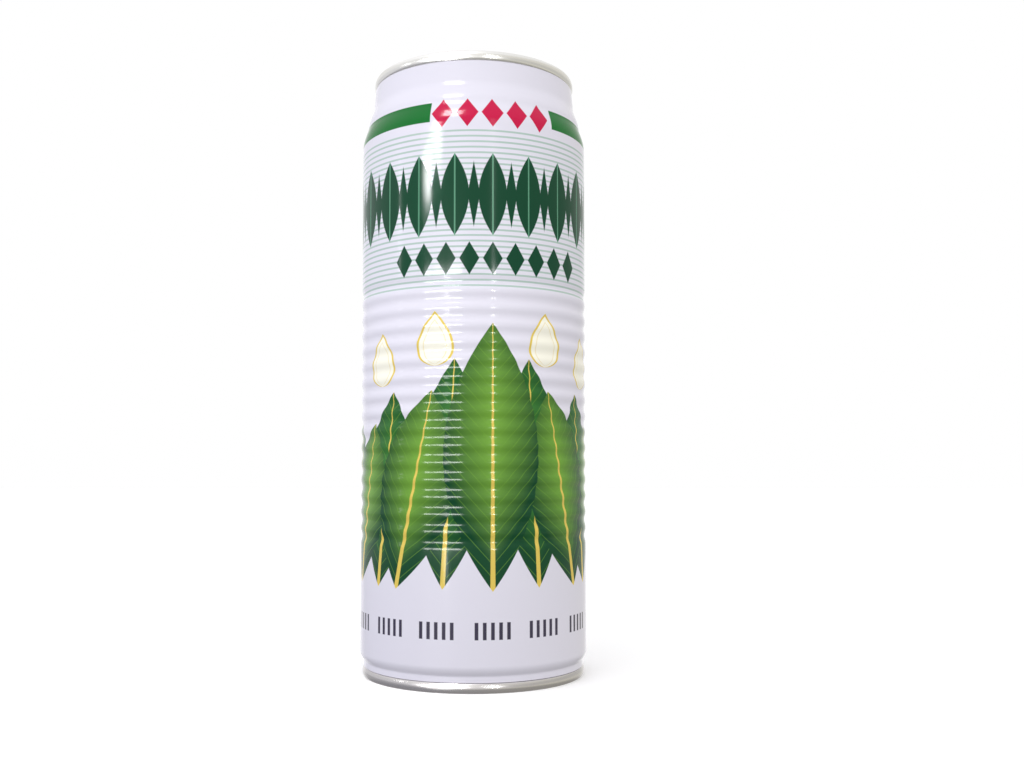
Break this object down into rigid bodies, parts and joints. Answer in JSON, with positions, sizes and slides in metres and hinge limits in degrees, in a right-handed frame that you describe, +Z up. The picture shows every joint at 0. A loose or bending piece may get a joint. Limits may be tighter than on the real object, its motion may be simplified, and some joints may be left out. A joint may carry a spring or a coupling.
{
  "type": "tall steel drinks can",
  "caption": "Sealed tall drinks can with a ribbed body, a stepped neck, seamed ends and a stay-on pull tab, to stand on its base.",
  "frame": {"origin": "centre of the base, on the plane that the bottom seam stands on", "axes": "+Z up along the can's axis; the front of the print faces -Y; the tab's nose and the mouth point to -Y and its heel to +Y"},
  "size_m": [0.0662, 0.0662, 0.175],
  "materials": {
    "body": "gloss white lacquer with a printed design in greens and red, on tinplate",
    "top_end": "bright clear-lacquered end stock with a fine rolled grain",
    "tab": "bright pressed and curled tab stock",
    "bottom_end": "bright tinplate with a faint warm gold lacquer"
  },
  "bodies": {
    "root": {"can_body": "body", "top_end": "top_end", "pull_tab": "tab", "bottom_end": "bottom_end"}
  },
  "joints": []
}
